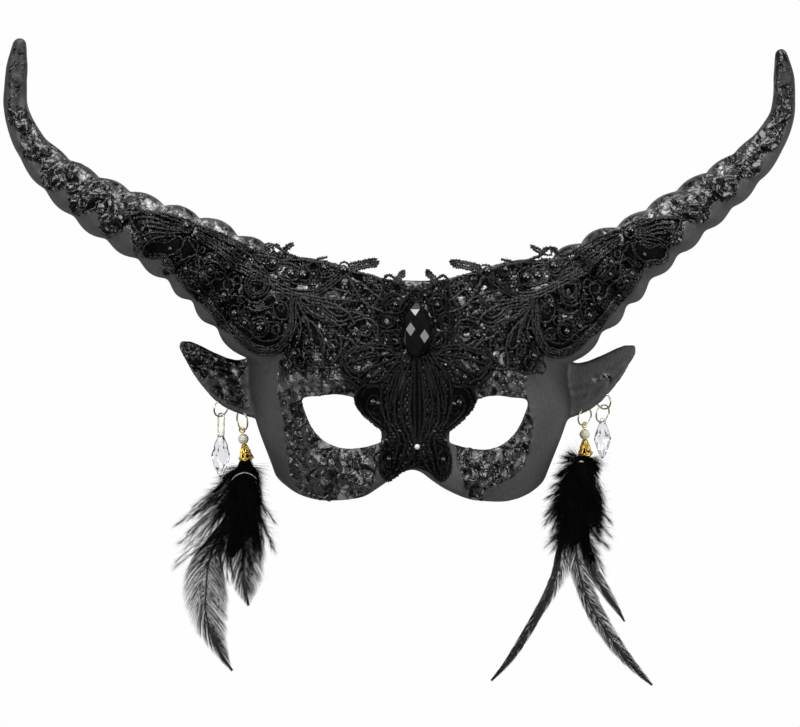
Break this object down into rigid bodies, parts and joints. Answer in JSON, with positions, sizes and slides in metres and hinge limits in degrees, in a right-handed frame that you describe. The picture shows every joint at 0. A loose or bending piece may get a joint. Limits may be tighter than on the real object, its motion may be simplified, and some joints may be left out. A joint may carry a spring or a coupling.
{
  "type": "devil mask",
  "caption": "Black horned half mask with pointed ears, corded lace over the brow, a faceted stone, and feather and crystal earrings, lying face up.",
  "frame": {"origin": "centre of the bounding box, midway between the horns, on the surface that the mask lies on", "axes": "+X to the right of the front view, +Y towards the horn tips, +Z out of the face, away from the wearer"},
  "size_m": [0.367, 0.2972, 0.0726],
  "materials": {
    "black_finish": "black paint, plain satin in places and glossy crackled in others",
    "black_lace": "corded and beaded guipure lace",
    "black_stone": "polished facets",
    "white_bead": "polished",
    "gilt_wire": "bright gold plating",
    "clear_crystal": "clear cut glass",
    "pale_bead": "pale cream gloss",
    "black_feather": "black down",
    "grey_feather": "thin grey to black barbs"
  },
  "bodies": {
    "root": {"mask_body": "black_finish", "lace_butterfly": "black_lace", "lace_spray_left": "black_lace", "lace_spray_right": "black_lace", "brow_stone": "black_stone", "nose_bead": "white_bead", "left_outer_ring": "gilt_wire", "left_inner_ring": "gilt_wire", "right_outer_ring": "gilt_wire", "right_inner_ring": "gilt_wire", "left_crystal_link": "gilt_wire", "right_lower_ring": "gilt_wire", "left_crystal_drop": "clear_crystal", "right_crystal_drop": "clear_crystal", "left_eye_pin": "gilt_wire", "left_pale_bead": "pale_bead", "left_gilt_cap": "gilt_wire", "right_eye_pin": "gilt_wire", "right_pale_bead": "pale_bead", "right_gilt_cap": "gilt_wire", "left_black_tuft": "black_feather", "right_black_tuft": "black_feather", "left_long_plume": "grey_feather", "left_short_plume": "grey_feather", "right_hackle_left": "grey_feather", "right_hackle_long": "grey_feather", "right_hackle_short": "grey_feather"}
  },
  "joints": []
}
